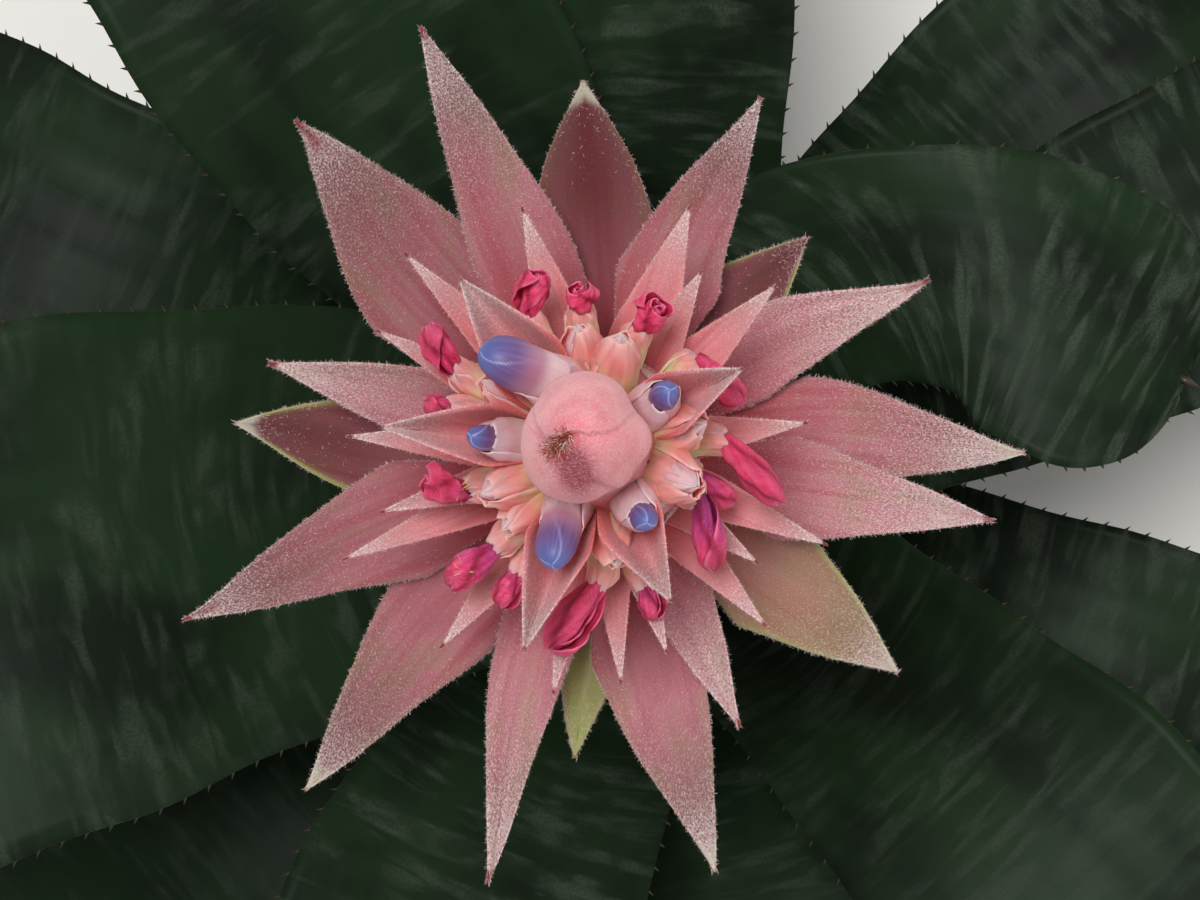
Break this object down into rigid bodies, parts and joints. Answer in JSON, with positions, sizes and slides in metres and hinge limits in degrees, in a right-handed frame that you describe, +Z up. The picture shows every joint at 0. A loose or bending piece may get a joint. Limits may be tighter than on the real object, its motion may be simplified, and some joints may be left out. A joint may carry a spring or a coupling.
{
  "type": "aechmea bromeliad",
  "caption": "Whole bromeliad plant: arching strap leaves round a funnel-shaped water tank, and a star-shaped pink flower head with blue buds on a central stalk.",
  "frame": {"origin": "centre of the stem's cut foot face, on the surface the plant rests on", "axes": "+Z up along the flower stalk, +X towards the right and +Y towards the top of the plant as seen from straight above"},
  "size_m": [0.4281, 0.4484, 0.318],
  "materials": {
    "stem": "rough, dry bark and old leaf bases",
    "leaf": "dark green, banded across with silver-grey scurf",
    "scape": "pale pink under white wool",
    "bract": "dusty pink, frosted white towards the tip",
    "flower_head": "pink and cream, felted",
    "crown_bud": "soft pink, felted",
    "bud": "waxy blue-violet petals",
    "spent_flower": "withered magenta petals, silky"
  },
  "bodies": {
    "root": {"stem": "stem", "leaf_01": "leaf", "leaf_02": "leaf", "leaf_03": "leaf", "leaf_04": "leaf", "leaf_05": "leaf", "leaf_06": "leaf", "leaf_07": "leaf", "leaf_08": "leaf", "leaf_09": "leaf", "leaf_10": "leaf", "leaf_11": "leaf", "leaf_12": "leaf", "leaf_13": "leaf", "scape": "scape", "bract_01": "bract", "bract_02": "bract", "bract_03": "bract", "bract_04": "bract", "bract_05": "bract", "bract_06": "bract", "bract_07": "bract", "bract_08": "bract", "bract_09": "bract", "bract_10": "bract", "bract_11": "bract", "bract_12": "bract", "bract_13": "bract", "bract_14": "bract", "bract_15": "bract", "bract_16": "bract", "bract_17": "bract", "flower_head": "flower_head", "crown_bud": "crown_bud", "bud_01": "bud", "bud_02": "bud", "bud_03": "bud", "bud_04": "bud", "bud_05": "bud", "spent_flower_01": "spent_flower", "spent_flower_02": "spent_flower", "spent_flower_03": "spent_flower", "spent_flower_04": "spent_flower", "spent_flower_05": "spent_flower", "spent_flower_06": "spent_flower", "spent_flower_07": "spent_flower", "spent_flower_08": "spent_flower", "spent_flower_09": "spent_flower", "spent_flower_10": "spent_flower", "spent_flower_11": "spent_flower", "spent_flower_12": "spent_flower", "spent_flower_13": "spent_flower", "spent_flower_14": "spent_flower"}
  },
  "joints": []
}
